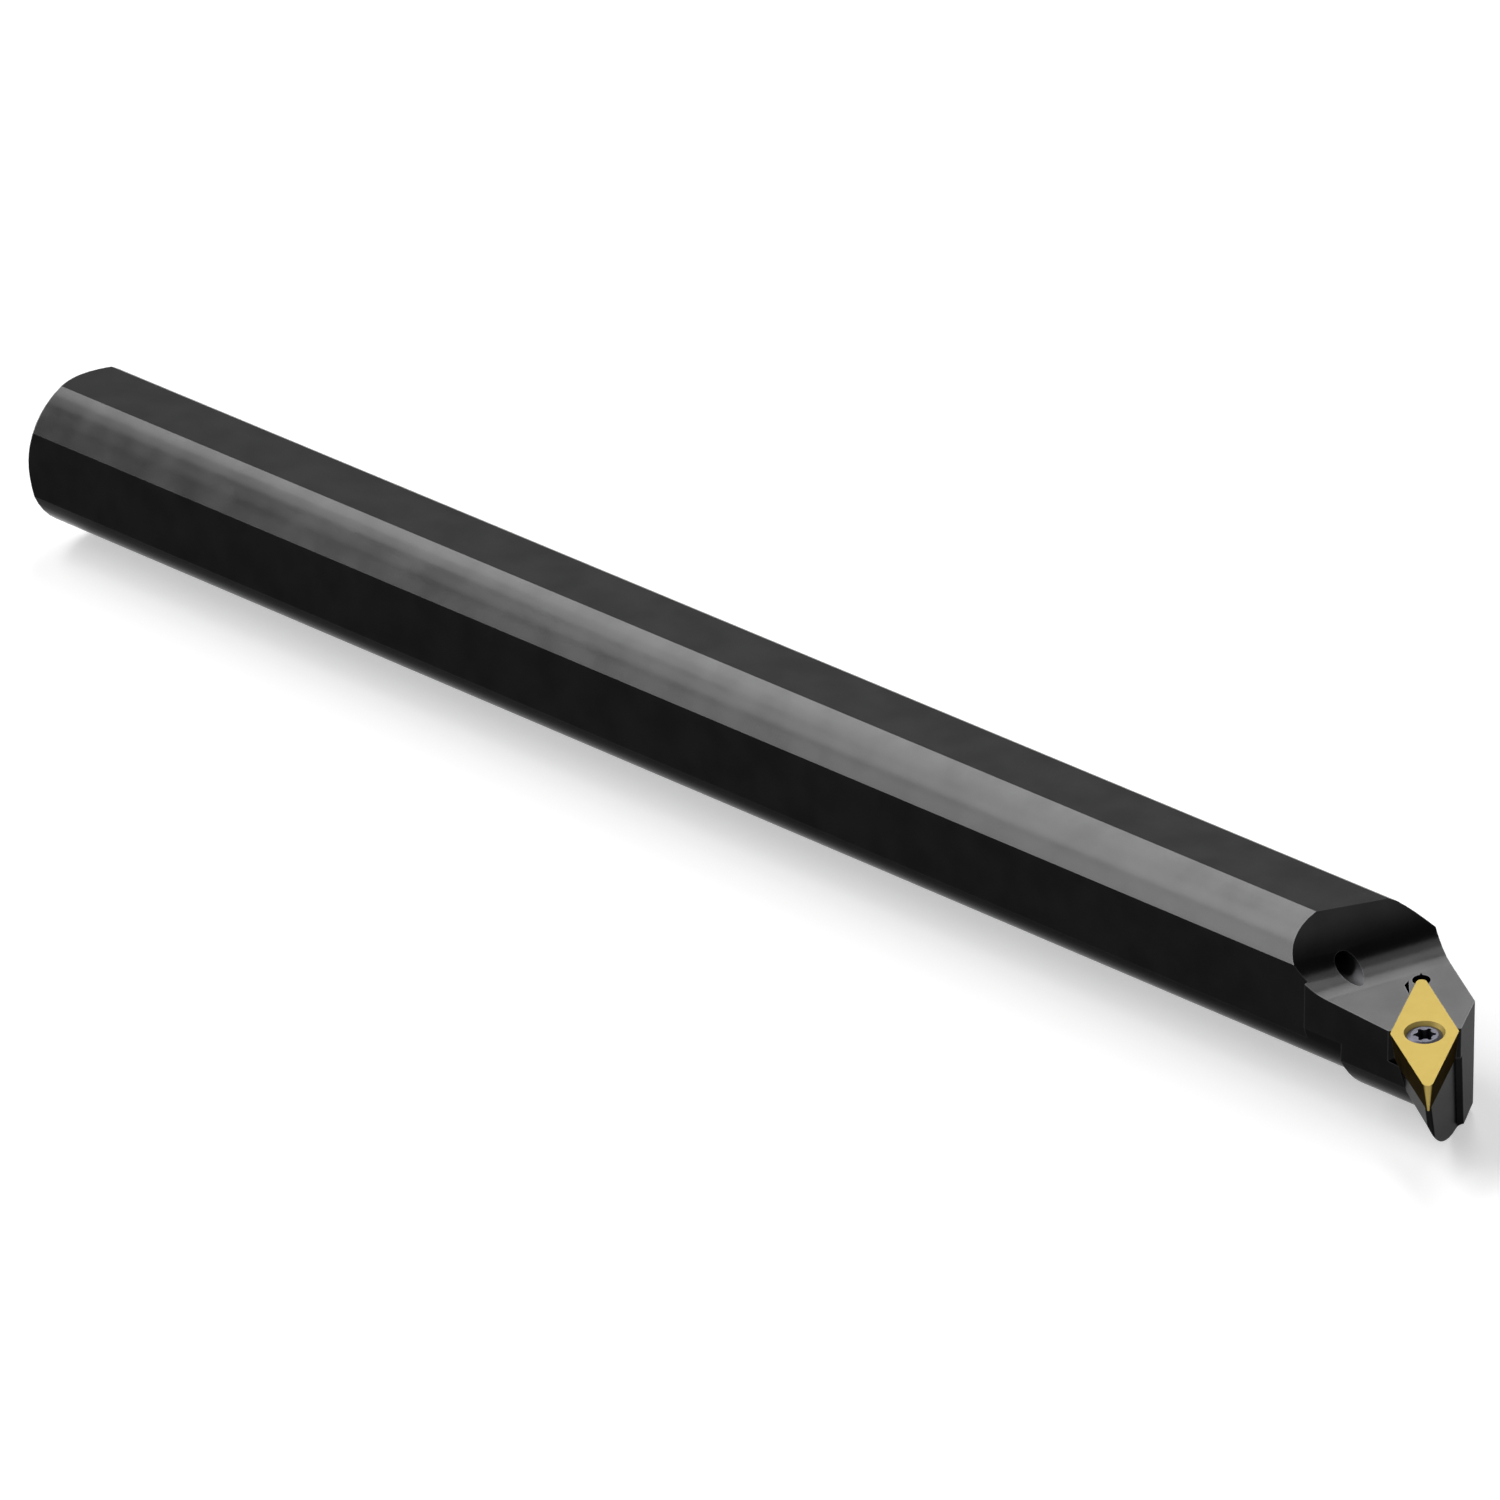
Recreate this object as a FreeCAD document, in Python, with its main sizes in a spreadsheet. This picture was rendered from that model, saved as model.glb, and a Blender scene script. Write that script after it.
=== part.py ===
import FreeCAD, Part
import math
import os
import Sketcher

# Boring bar with one clamped 35 degree insert, all sizes in millimetres and degrees.
# +X runs along the bar from its tail face to the cutting end and +Z is up. The origin
# lies on the bar's axis at the tail face, and the insert's nose is on centre height.

Vector = FreeCAD.Vector
document = FreeCAD.newDocument("boring_bar")

# Driving sizes
dims = document.addObject("Spreadsheet::Sheet", "dims")
DRIVING_SIZES = (
    ("bar_diameter", "25.4", "round bar stock of the shank"),
    ("nose_to_tail", "304.8", "tail face to the tip of the insert's nose"),
    ("flat_depth", "1.2", "cut of each of the four clamping flats into the round"),
    ("tail_chamfer", "1.5", "turned chamfer around the tail face"),
    ("head_length", "30.7", "nose tip back to where the flats end and the head starts"),
    ("nose_reach", "18.79", "bar axis to the nose tip, measured across the bar"),
    ("neck_length", "23.3", "nose tip back to where the head is turned larger than the bar"),
    ("neck_rise", "1.03", "turned neck around the bar axis, proud of the bar"),
    ("flare_length", "10.6", "nose tip back to where the neck flares out"),
    ("flare_angle", "28", "slope of the flared front against the bar axis"),
    ("back_diameter", "27.7", "round back of the head, turned off centre"),
    ("back_offset", "2.08", "back's centre towards the insert"),
    ("belly_diameter", "29.02", "round underside, turned off centre"),
    ("belly_offset", "4.76", "underside centre towards the insert"),
    ("side_cut", "0.5", "cut of the head's milled side wall into the bar's round"),
    ("front_corner", "1.8", "upright corner between front face and facet, past the axis"),
    ("lead_angle", "45", "insert's long diagonal against the bar axis, in plan"),
    ("dip_angle", "7.47", "insert's long diagonal against the level, down to the nose"),
    ("insert_circle", "9.525", "inscribed circle of the rhombic insert"),
    ("insert_thickness", "4.76", "height of the insert"),
    ("nose_angle", "35", "included angle of the insert's sharp corners"),
    ("nose_radius", "0.8", "corner radius of the insert"),
    ("relief_angle", "7", "lean of the insert's flanks under its cutting edges"),
    ("insert_hole", "4.4", "clamping hole through the insert"),
    ("countersink_diameter", "6.08", "mouth of the insert's countersink"),
    ("countersink_angle", "60", "included angle of the countersink and the screw's head"),
    ("wall_clearance", "0.02", "gap between the insert and its pocket walls"),
    ("corner_setback", "0.7", "pocket wall tips cut back behind the insert's centre"),
    ("tail_relief", "2.72", "hole that frees the insert's rear corner"),
    ("tail_relief_inset", "1.99", "rear corner of the insert to that hole's centre"),
    ("slot_rib", "0.5", "wall left between that hole and the side slot"),
    ("slot_length", "2.77", "long edge of the side slot"),
    ("slot_angle", "14.2", "long edge of the side slot against the insert's diagonal"),
    ("front_proud", "0.14", "head's front face in front of the insert's edge"),
    ("step_start", "2.53", "start of the stepped-back nose face behind the insert's centre"),
    ("step_round", "1.45", "inside radius where that face runs into the front face"),
    ("block_relief", "8", "lean of the face under the insert's long side"),
    ("block_round", "0.5", "rounded upright edge under the nose"),
    ("gullet_radius", "12.2", "chip gullet behind the insert"),
    ("gullet_turn", "24.85", "gullet's direction against the insert's diagonal"),
    ("gullet_distance", "14.44", "insert centre back to where the gullet starts to rise"),
    ("screw_thread", "3.5", "insert screw's thread"),
    ("screw_length", "11", "insert screw, over all"),
    ("screw_head", "5.3", "rim of the screw's head"),
    ("screw_crown", "4", "flat top of the screw's head"),
    ("crown_depth", "0.35", "top of the screw below the top of the insert"),
    ("head_clearance", "0.01", "gap between the screw's head and the countersink"),
    ("thread_clearance", "0.02", "gap between the screw and its hole in the bar"),
    ("screw_tip", "0.4", "chamfer at the screw's end"),
    ("socket_points", "3.3", "six-lobe socket across its points"),
    ("socket_flats", "2.36", "six-lobe socket across its waists"),
    ("socket_waist", "0.693", "radius of the socket's waists"),
    ("socket_depth", "1.6", "depth of the socket below the screw's top"),
    ("jet_diameter", "3.5", "coolant hole that opens in the gullet"),
    ("jet_back", "28.6", "nose tip back to the coolant hole's mouth"),
    ("jet_side", "5.07", "bar axis to the coolant hole's mouth, across the bar"),
    ("jet_height", "4.6", "bar axis to the coolant hole's mouth, upwards"),
    ("jet_turn", "19.7", "coolant hole against the bar axis, in plan"),
    ("jet_rise", "4.5", "coolant hole against the level"),
    ("jet_length", "18", "coolant hole from its mouth back into the bar"),
    ("bore_diameter", "5.5", "coolant bore along the bar axis"),
    ("bore_end", "42", "nose tip back to the end of the coolant bore"),
    ("port_diameter", "11.11", "tapped coolant port in the tail face"),
    ("port_depth", "15", "full depth of the coolant port"),
    ("port_chamfer", "0.9", "chamfer at the port's mouth"),
    ("drill_angle", "118", "point of the drills that make the port and the bore"),
)
for row, (alias, number, meaning) in enumerate(DRIVING_SIZES, start=1):
    dims.set(f"A{row}", meaning)
    dims.set(f"B{row}", number)
    dims.setAlias(f"B{row}", alias)
document.recompute()

# Sizes that follow from the driving ones, as expressions for the model's features
BAR_RADIUS = "(dims.bar_diameter / 2)"
FLAT_HEIGHT = f"({BAR_RADIUS} - dims.flat_depth)"
SIDE_WALL = f"({BAR_RADIUS} - dims.side_cut)"
NECK_RADIUS = f"({BAR_RADIUS} + dims.neck_rise)"
SHANK_END = "(dims.nose_to_tail - dims.head_length)"
HALF_ANGLE = "(dims.nose_angle / 2)"
HALF_LENGTH = f"(dims.insert_circle / 2 / sin({HALF_ANGLE}))"
CENTRE_TO_NOSE = f"({HALF_LENGTH} - dims.nose_radius * (1 / sin({HALF_ANGLE}) - 1))"
UNDERCUT = "(dims.insert_thickness * tan(dims.relief_angle))"
LOWER_CIRCLE = f"(dims.insert_circle / 2 - {UNDERCUT})"
# The roll about the long diagonal that leaves the front cutting edge's normal level
ROLL = f"asin(tan(dims.dip_angle) * tan({HALF_ANGLE}))"
# Reach of the cuts that have to run out of the metal
CLEAR = "(dims.bar_diameter * 1.5)"


def measure(expression):
    """Value of an expression as a plain number."""
    result = dims.evalExpression(expression)
    return float(getattr(result, "Value", result))


def place(x="0", y="0", z="0", turn="rotation(0; 0; 0)"):
    """Expression for a placement at (x, y, z) with a rotation."""
    return f"placement(vector({x}; {y}; {z}); {turn})"


def coordinate_frame(name, expression):
    """A named local coordinate system whose placement follows the sizes."""
    frame = document.addObject("Part::LocalCoordinateSystem", name)
    frame.setExpression("Placement", expression)
    document.recompute()
    return frame


def origin_plane(body, role):
    """One of the three planes of a body's own origin."""
    return next(plane for plane in body.Origin.OriginFeatures if plane.Role == role)


def new_sketch(body, name, role, offset=None):
    """A sketch on a plane of the body's origin, moved off it by a placement."""
    sketch = body.newObject("Sketcher::SketchObject", name)
    sketch.AttachmentSupport = [(origin_plane(body, role), "")]
    sketch.MapMode = "FlatFace"
    if offset:
        sketch.setExpression("AttachmentOffset", offset)
    return sketch


def pin_point(sketch, geometry, position, x, y):
    """Hold one point of a sketch at two expressions."""
    for kind, expression in (("DistanceX", x), ("DistanceY", y)):
        number = measure(expression)
        index = sketch.addConstraint(
            Sketcher.Constraint(kind, -1, 1, geometry, position, number))
        sketch.setExpression(f"Constraints[{index}]", expression)


def hold_radius(sketch, geometry, radius):
    """Hold the radius of an arc or a circle at an expression."""
    index = sketch.addConstraint(Sketcher.Constraint("Radius", geometry, measure(radius)))
    sketch.setExpression(f"Constraints[{index}]", radius)


def add_circle(sketch, x, y, radius):
    """A circle with its centre and radius held at expressions."""
    centre = Vector(measure(x), measure(y), 0)
    circle = sketch.addGeometry(Part.Circle(centre, Vector(0, 0, 1), measure(radius)))
    pin_point(sketch, circle, 3, x, y)
    hold_radius(sketch, circle, radius)


def add_outline(sketch, corners):
    """A closed outline through corners (x, y) or (x, y, radius), each an expression.

    A corner with a radius is replaced by an arc that both of its sides are tangent to,
    and the sides still aim at the corner itself.
    """
    points = [Vector(measure(corner[0]), measure(corner[1]), 0) for corner in corners]
    count = len(corners)
    arrivals = list(points)
    departures = list(points)
    arcs = {}
    for i, corner in enumerate(corners):
        if len(corner) < 3:
            continue
        radius = measure(corner[2])
        back = (points[i - 1] - points[i]).normalize()
        ahead = (points[(i + 1) % count] - points[i]).normalize()
        half = back.getAngle(ahead) / 2
        arrivals[i] = points[i] + back * (radius / math.tan(half))
        departures[i] = points[i] + ahead * (radius / math.tan(half))
        centre = points[i] + (back + ahead).normalize() * (radius / math.sin(half))
        turns_left = ahead.cross(back).z > 0
        first, last = (arrivals[i], departures[i]) if turns_left else (departures[i], arrivals[i])
        start = math.atan2(first.y - centre.y, first.x - centre.x)
        end = math.atan2(last.y - centre.y, last.x - centre.x)
        circle = Part.Circle(centre, Vector(0, 0, 1), radius)
        arcs[i] = (sketch.addGeometry(Part.ArcOfCircle(circle, start, end)), turns_left)
    sides = []
    for i in range(count):
        line = Part.LineSegment(departures[i], arrivals[(i + 1) % count])
        sides.append(sketch.addGeometry(line))
    for i, corner in enumerate(corners):
        before, after = sides[i - 1], sides[i]
        if i not in arcs:
            sketch.addConstraint(Sketcher.Constraint("Coincident", before, 2, after, 1))
            pin_point(sketch, after, 1, corner[0], corner[1])
            continue
        arc, turns_left = arcs[i]
        arc_start, arc_end = (1, 2) if turns_left else (2, 1)
        tip = sketch.addGeometry(Part.Point(points[i]), True)
        pin_point(sketch, tip, 1, corner[0], corner[1])
        sketch.addConstraint(Sketcher.Constraint("Tangent", before, 2, arc, arc_start))
        sketch.addConstraint(Sketcher.Constraint("Tangent", after, 1, arc, arc_end))
        sketch.addConstraint(Sketcher.Constraint("PointOnObject", tip, 1, before))
        sketch.addConstraint(Sketcher.Constraint("PointOnObject", tip, 1, after))
        hold_radius(sketch, arc, corner[2])


def add_rectangle(sketch, x_low, y_low, x_high, y_high):
    """A rectangle between two opposite corners."""
    add_outline(sketch, ((x_low, y_low), (x_high, y_low), (x_high, y_high), (x_low, y_high)))


def finish(feature, expect):
    """Build a feature and make sure that it adds or takes away metal as it should."""
    document.recompute()
    before = feature.BaseFeature.Shape.Volume if feature.BaseFeature else 0.0
    change = feature.Shape.Volume - before
    wrong = change <= 0 if expect == "adds" else change >= 0
    if wrong or not feature.isValid():
        raise RuntimeError(f"{feature.Name} {expect} nothing: {feature.State}")
    return feature


def pad(body, name, sketch, length):
    """Metal from a sketch along its normal."""
    feature = body.newObject("PartDesign::Pad", name)
    feature.Profile = sketch
    feature.setExpression("Length", length)
    return feature


def pocket(body, name, sketch, length, along_normal=False):
    """A cut from a sketch against its normal, or along it."""
    feature = body.newObject("PartDesign::Pocket", name)
    feature.Profile = sketch
    feature.Reversed = along_normal
    feature.setExpression("Length", length)
    return feature


def turn(body, kind, name, sketch, axis):
    """A full turn of a sketch about one of its own axes, as added or removed metal."""
    feature = body.newObject(f"PartDesign::{kind}", name)
    feature.Profile = sketch
    feature.ReferenceAxis = (sketch, [axis])
    feature.Angle = 360
    return feature


# Frames that carry the insert, its pocket, the gullet and the coolant hole
nose_frame = coordinate_frame(
    "nose_frame",
    place("dims.nose_to_tail", "-dims.nose_reach", "0",
          f"rotation(-dims.lead_angle; dims.dip_angle; {ROLL})"))
seat_frame = coordinate_frame(
    "seat_frame", f"nose_frame.Placement * {place(x=f'-{CENTRE_TO_NOSE}')}")
turn_to_front = place(z="-dims.insert_thickness", turn=f"rotation(-{HALF_ANGLE}; 0; 0)")
front_frame = coordinate_frame("front_frame", f"seat_frame.Placement * {turn_to_front}")
gullet_frame = coordinate_frame(
    "gullet_frame",
    f"seat_frame.Placement * {place(turn='rotation(dims.gullet_turn; 0; 90)')}")
jet_frame = coordinate_frame(
    "jet_frame",
    place("dims.nose_to_tail - dims.jet_back", "-dims.jet_side", "dims.jet_height",
          "rotation(-dims.jet_turn; 90 - dims.jet_rise; 0)"))


def make_shank(body):
    """The long shank: round stock with four clamping flats and a chamfered tail."""
    section = new_sketch(body, "shank_section", "YZ_Plane")
    radius = measure(BAR_RADIUS)
    flat = measure(FLAT_HEIGHT)
    half_width = math.sqrt(radius**2 - flat**2)
    lean = math.atan2(half_width, flat)
    circle = Part.Circle(Vector(0, 0, 0), Vector(0, 0, 1), radius)
    flats = []
    rounds = []
    for quarter in range(4):
        middle = quarter * math.pi / 2
        start = Vector(math.cos(middle - lean), math.sin(middle - lean), 0) * radius
        end = Vector(math.cos(middle + lean), math.sin(middle + lean), 0) * radius
        flats.append(section.addGeometry(Part.LineSegment(start, end)))
        arc = Part.ArcOfCircle(circle, middle + lean, middle + math.pi / 2 - lean)
        rounds.append(section.addGeometry(arc))
    for quarter in range(4):
        upright = "Vertical" if quarter % 2 == 0 else "Horizontal"
        across = "DistanceX" if quarter % 2 == 0 else "DistanceY"
        side = 1 if quarter < 2 else -1
        section.addConstraint(Sketcher.Constraint(upright, flats[quarter]))
        index = section.addConstraint(
            Sketcher.Constraint(across, -1, 1, flats[quarter], 1, side * flat))
        section.setExpression(f"Constraints[{index}]", f"{side} * {FLAT_HEIGHT}")
        section.addConstraint(
            Sketcher.Constraint("Coincident", flats[quarter], 2, rounds[quarter], 1))
        section.addConstraint(
            Sketcher.Constraint("Coincident", rounds[quarter], 2, flats[(quarter + 1) % 4], 1))
        section.addConstraint(Sketcher.Constraint("Coincident", rounds[quarter], 3, -1, 1))
        hold_radius(section, rounds[quarter], BAR_RADIUS)
    finish(pad(body, "shank", section, SHANK_END), "adds")

    # The triangle that the chamfer takes away runs out past the rim by its own size.
    rim = new_sketch(body, "tail_chamfer_profile", "XZ_Plane")
    add_outline(rim, (("-dims.tail_chamfer", f"{BAR_RADIUS} - 2 * dims.tail_chamfer"),
                      ("2 * dims.tail_chamfer", f"{BAR_RADIUS} + dims.tail_chamfer"),
                      ("-dims.tail_chamfer", f"{BAR_RADIUS} + dims.tail_chamfer")))
    finish(turn(body, "Groove", "tail_chamfer", rim, "H_Axis"), "cuts")


def make_head(body):
    """The head's outside: turned about the bar's axis, then milled to its plan shape."""
    top = "(dims.belly_diameter)"
    plan = new_sketch(body, "head_block_plan", "XY_Plane", place(z=f"-{top}"))
    add_rectangle(plan, SHANK_END, f"-{SIDE_WALL}",
                  f"dims.nose_to_tail + {BAR_RADIUS}", FLAT_HEIGHT)
    finish(pad(body, "head_block", plan, f"2 * {top}"), "adds")

    # The block under the insert's nose. Its upright edge leans back, so that one face
    # stays under the front cutting edge and the other leans in under the long one.
    nose = new_sketch(body, "nose_block_plan", "XY_Plane",
                      f"seat_frame.Placement * {place(z='-dims.insert_thickness')}")
    tip = f"({LOWER_CIRCLE} / sin({HALF_ANGLE}))"
    side = f"({LOWER_CIRCLE} / cos({HALF_ANGLE}))"
    add_outline(nose, (("0", f"-{side}"), (tip, "0", "dims.block_round"), ("0", side)))
    block = pad(body, "nose_block", nose, "dims.belly_diameter / 2")
    block.UseCustomVector = True
    lean = "tan(dims.block_relief)"
    edge = Vector(-measure(f"{lean} * cos({HALF_ANGLE}) / sin(dims.nose_angle)"),
                  measure(f"{lean} * sin({HALF_ANGLE}) / sin(dims.nose_angle)"), -1)
    block.Direction = seat_frame.Placement.Rotation.multVec(edge)
    finish(block, "adds")

    turned = new_sketch(body, "turned_profile", "XZ_Plane")
    neck = "(dims.nose_to_tail - dims.neck_length)"
    flare = "(dims.nose_to_tail - dims.flare_length)"
    far = f"({flare} + {CLEAR})"
    add_outline(turned, (
        (SHANK_END, BAR_RADIUS),
        (neck, BAR_RADIUS),
        (neck, NECK_RADIUS),
        (flare, NECK_RADIUS),
        (far, f"{NECK_RADIUS} + {CLEAR} * tan(dims.flare_angle)"),
        (far, f"{NECK_RADIUS} + 2 * {CLEAR}"),
        (SHANK_END, f"{NECK_RADIUS} + 2 * {CLEAR}")))
    finish(turn(body, "Groove", "turned_head", turned, "H_Axis"), "cuts")

    # Seen from the front the head is two circles joined: its back, which clears the
    # wall of the bored hole, and the wider underside that carries the insert's nose.
    around = new_sketch(body, "head_section", "YZ_Plane", place(z=SHANK_END))
    add_rectangle(around, f"-{CLEAR}", f"-{CLEAR}", CLEAR, CLEAR)
    back = measure("dims.back_diameter / 2")
    back_y = -measure("dims.back_offset")
    belly = measure("dims.belly_diameter / 2")
    belly_y = -measure("dims.belly_offset")
    cross_y = (belly**2 - back**2 - belly_y**2 + back_y**2) / (2 * (back_y - belly_y))
    cross_z = math.sqrt(back**2 - (cross_y - back_y)**2)
    back_turn = math.atan2(cross_z, cross_y - back_y)
    belly_turn = math.atan2(cross_z, cross_y - belly_y)
    back_circle = Part.Circle(Vector(back_y, 0, 0), Vector(0, 0, 1), back)
    belly_circle = Part.Circle(Vector(belly_y, 0, 0), Vector(0, 0, 1), belly)
    back_arc = around.addGeometry(Part.ArcOfCircle(back_circle, -back_turn, back_turn))
    belly_arc = around.addGeometry(
        Part.ArcOfCircle(belly_circle, belly_turn, 2 * math.pi - belly_turn))
    around.addConstraint(Sketcher.Constraint("Coincident", back_arc, 2, belly_arc, 1))
    around.addConstraint(Sketcher.Constraint("Coincident", belly_arc, 2, back_arc, 1))
    pin_point(around, back_arc, 3, "-dims.back_offset", "0")
    pin_point(around, belly_arc, 3, "-dims.belly_offset", "0")
    hold_radius(around, back_arc, "dims.back_diameter / 2")
    hold_radius(around, belly_arc, "dims.belly_diameter / 2")
    finish(pocket(body, "head_round", around, f"dims.head_length + {CLEAR}", True), "cuts")

    # Front face along the insert's front edge, and the facet behind it, seen from above
    outline = new_sketch(body, "front_plan", "XY_Plane", place(z=f"-{CLEAR}"))
    front = f"(90 - {HALF_ANGLE} - dims.lead_angle)"
    facet = f"(dims.lead_angle - {HALF_ANGLE})"
    reach = (f"(seat_frame.Placement.Base.x / 1 mm * cos({front})"
             f" + seat_frame.Placement.Base.y / 1 mm * sin({front})"
             " + dims.insert_circle / 2 + dims.front_proud)")
    corner_x = f"(({reach} - dims.front_corner * sin({front})) / cos({front}))"
    low_x = f"(({reach} + {CLEAR} * sin({front})) / cos({front}))"
    add_outline(outline, (
        (low_x, f"-{CLEAR}"),
        (f"{low_x} + {CLEAR}", f"-{CLEAR}"),
        (f"{low_x} + {CLEAR}", f"dims.front_corner + {CLEAR} * tan({facet})"),
        (f"{corner_x} - {CLEAR}", f"dims.front_corner + {CLEAR} * tan({facet})"),
        (corner_x, "dims.front_corner")))
    finish(pocket(body, "front_and_facet", outline, f"2 * {CLEAR}", True), "cuts")

    # Under the insert the front steps back to the insert's lower edge.
    step = new_sketch(body, "nose_step_plan", "XY_Plane", "front_frame.Placement")
    add_outline(step, (("-dims.step_start", LOWER_CIRCLE, "dims.step_round"),
                       (CLEAR, LOWER_CIRCLE),
                       (CLEAR, CLEAR),
                       ("-dims.step_start", CLEAR)))
    finish(pocket(body, "nose_step", step, CLEAR), "cuts")


def make_rake_and_gullet(body):
    """The level in which the insert lies, and the chip gullet that rises behind it."""
    profile = new_sketch(body, "gullet_profile", "XY_Plane",
                         f"gullet_frame.Placement * {place(z=f'-{CLEAR}')}")
    rear = "(-dims.gullet_distance - dims.gullet_radius)"
    add_outline(profile, ((rear, "0", "dims.gullet_radius"),
                          (CLEAR, "0"),
                          (CLEAR, CLEAR),
                          (rear, CLEAR)))
    finish(pocket(body, "chip_gullet", profile, f"2 * {CLEAR}", True), "cuts")


def seat_outline(sketch, inset, setback):
    """The pocket's outline, with two walls set in and their tips cut back by a setback."""
    circle = f"(dims.insert_circle / 2 + dims.wall_clearance - {inset})"
    corner = f"({circle} / sin({HALF_ANGLE}))"
    edge = f"(({corner} - {setback}) * tan({HALF_ANGLE}))"
    add_outline(sketch, ((f"-{corner}", "0"),
                         (f"-{setback}", f"-{edge}"),
                         (f"-{setback}", f"-{CLEAR}"),
                         (CLEAR, f"-{CLEAR}"),
                         (CLEAR, CLEAR),
                         (f"-{setback}", CLEAR),
                         (f"-{setback}", edge)))


def make_pocket(body):
    """The insert's pocket with leaning walls, its freed rear corner and screw hole."""
    mouth = new_sketch(body, "pocket_mouth", "XY_Plane", "seat_frame.Placement")
    seat_outline(mouth, "0", "dims.corner_setback")
    floor = new_sketch(body, "pocket_floor", "XY_Plane",
                       f"seat_frame.Placement * {place(z='-dims.insert_thickness')}")
    # The cut-back tips stand upright, so at the tilted floor they lie further forward.
    forward = "(dims.insert_thickness * tan(dims.dip_angle))"
    seat_outline(floor, UNDERCUT, f"(dims.corner_setback - {forward})")
    document.recompute()
    seat = body.newObject("PartDesign::SubtractiveLoft", "insert_pocket")
    seat.Profile = mouth
    seat.Sections = [floor]
    seat.Ruled = True
    finish(seat, "cuts")

    hole_x = f"(dims.tail_relief_inset - {HALF_LENGTH})"
    relief = new_sketch(body, "tail_relief_circle", "XY_Plane", "seat_frame.Placement")
    add_circle(relief, hole_x, "0", "dims.tail_relief / 2")
    finish(pocket(body, "tail_relief_hole", relief, "dims.insert_thickness"), "cuts")

    slot = new_sketch(body, "side_slot_plan", "XY_Plane", "seat_frame.Placement")
    rib_y = "(dims.tail_relief / 2 + dims.slot_rib)"
    end_x = f"({rib_y} / tan({HALF_ANGLE}) - {HALF_LENGTH})"
    add_outline(slot, ((end_x, f"-{rib_y}"),
                       (hole_x, f"-{rib_y}"),
                       (f"{end_x} - dims.slot_length * cos(dims.slot_angle)",
                        f"-{rib_y} - dims.slot_length * sin(dims.slot_angle)")))
    finish(pocket(body, "side_slot", slot, "dims.insert_thickness"), "cuts")

    thread = new_sketch(body, "screw_hole_circle", "XY_Plane", "seat_frame.Placement")
    add_circle(thread, "0", "0", "dims.screw_thread / 2 + dims.thread_clearance")
    finish(pocket(body, "screw_hole", thread, CLEAR), "cuts")


def make_coolant_way(body):
    """Tapped port in the tail, bore along the axis and the jet hole in the gullet."""
    bore = new_sketch(body, "coolant_bore_profile", "XZ_Plane")
    port = "(dims.port_diameter / 2)"
    bore_radius = "(dims.bore_diameter / 2)"
    point = "tan(dims.drill_angle / 2)"
    end = "(dims.nose_to_tail - dims.bore_end)"
    add_outline(bore, (("0", "0"),
                       (f"{end} + {bore_radius} / {point}", "0"),
                       (end, bore_radius),
                       (f"dims.port_depth + ({port} - {bore_radius}) / {point}", bore_radius),
                       ("dims.port_depth", port),
                       ("dims.port_chamfer", port),
                       ("0", f"{port} + dims.port_chamfer")))
    finish(turn(body, "Groove", "coolant_bore", bore, "H_Axis"), "cuts")

    jet = new_sketch(body, "jet_circle", "XY_Plane",
                     f"jet_frame.Placement * {place(z='-dims.jet_length')}")
    add_circle(jet, "0", "0", "dims.jet_diameter / 2")
    finish(pocket(body, "jet_hole", jet, f"dims.jet_length + {BAR_RADIUS}", True), "cuts")


def make_bar():
    """The bar: one piece of steel from its tail to the metal under the insert's nose."""
    body = document.addObject("PartDesign::Body", "bar_body")
    make_shank(body)
    make_head(body)
    make_rake_and_gullet(body)
    make_pocket(body)
    make_coolant_way(body)
    return body


def make_insert():
    """The insert: a rhombus with leaning flanks and a countersunk hole."""
    body = document.addObject("PartDesign::Body", "cutting_insert")
    body.setExpression("Placement", "seat_frame.Placement")
    sections = []
    for name, height, inset in (("insert_top", "0", "0"),
                                ("insert_base", "-dims.insert_thickness", UNDERCUT)):
        section = new_sketch(body, name, "XY_Plane", place(z=height))
        circle = f"(dims.insert_circle / 2 - {inset})"
        radius = f"(dims.nose_radius - {inset})"
        length = f"({circle} / sin({HALF_ANGLE}))"
        width = f"({circle} / cos({HALF_ANGLE}))"
        add_outline(section, ((length, "0", radius), ("0", width, radius),
                              (f"-{length}", "0", radius), ("0", f"-{width}", radius)))
        sections.append(section)
    document.recompute()
    loft = body.newObject("PartDesign::AdditiveLoft", "insert_blank")
    loft.Profile = sections[0]
    loft.Sections = sections[1:]
    loft.Ruled = True
    finish(loft, "adds")

    hole = new_sketch(body, "insert_hole_profile", "XZ_Plane")
    mouth = "(dims.countersink_diameter / 2)"
    bore = "(dims.insert_hole / 2)"
    slope = "tan(dims.countersink_angle / 2)"
    add_outline(hole, (("0", "0"), (mouth, "0"), (bore, f"({bore} - {mouth}) / {slope}"),
                       (bore, "-dims.insert_thickness"), ("0", "-dims.insert_thickness")))
    finish(turn(body, "Groove", "insert_hole", hole, "V_Axis"), "cuts")
    return body


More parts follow.
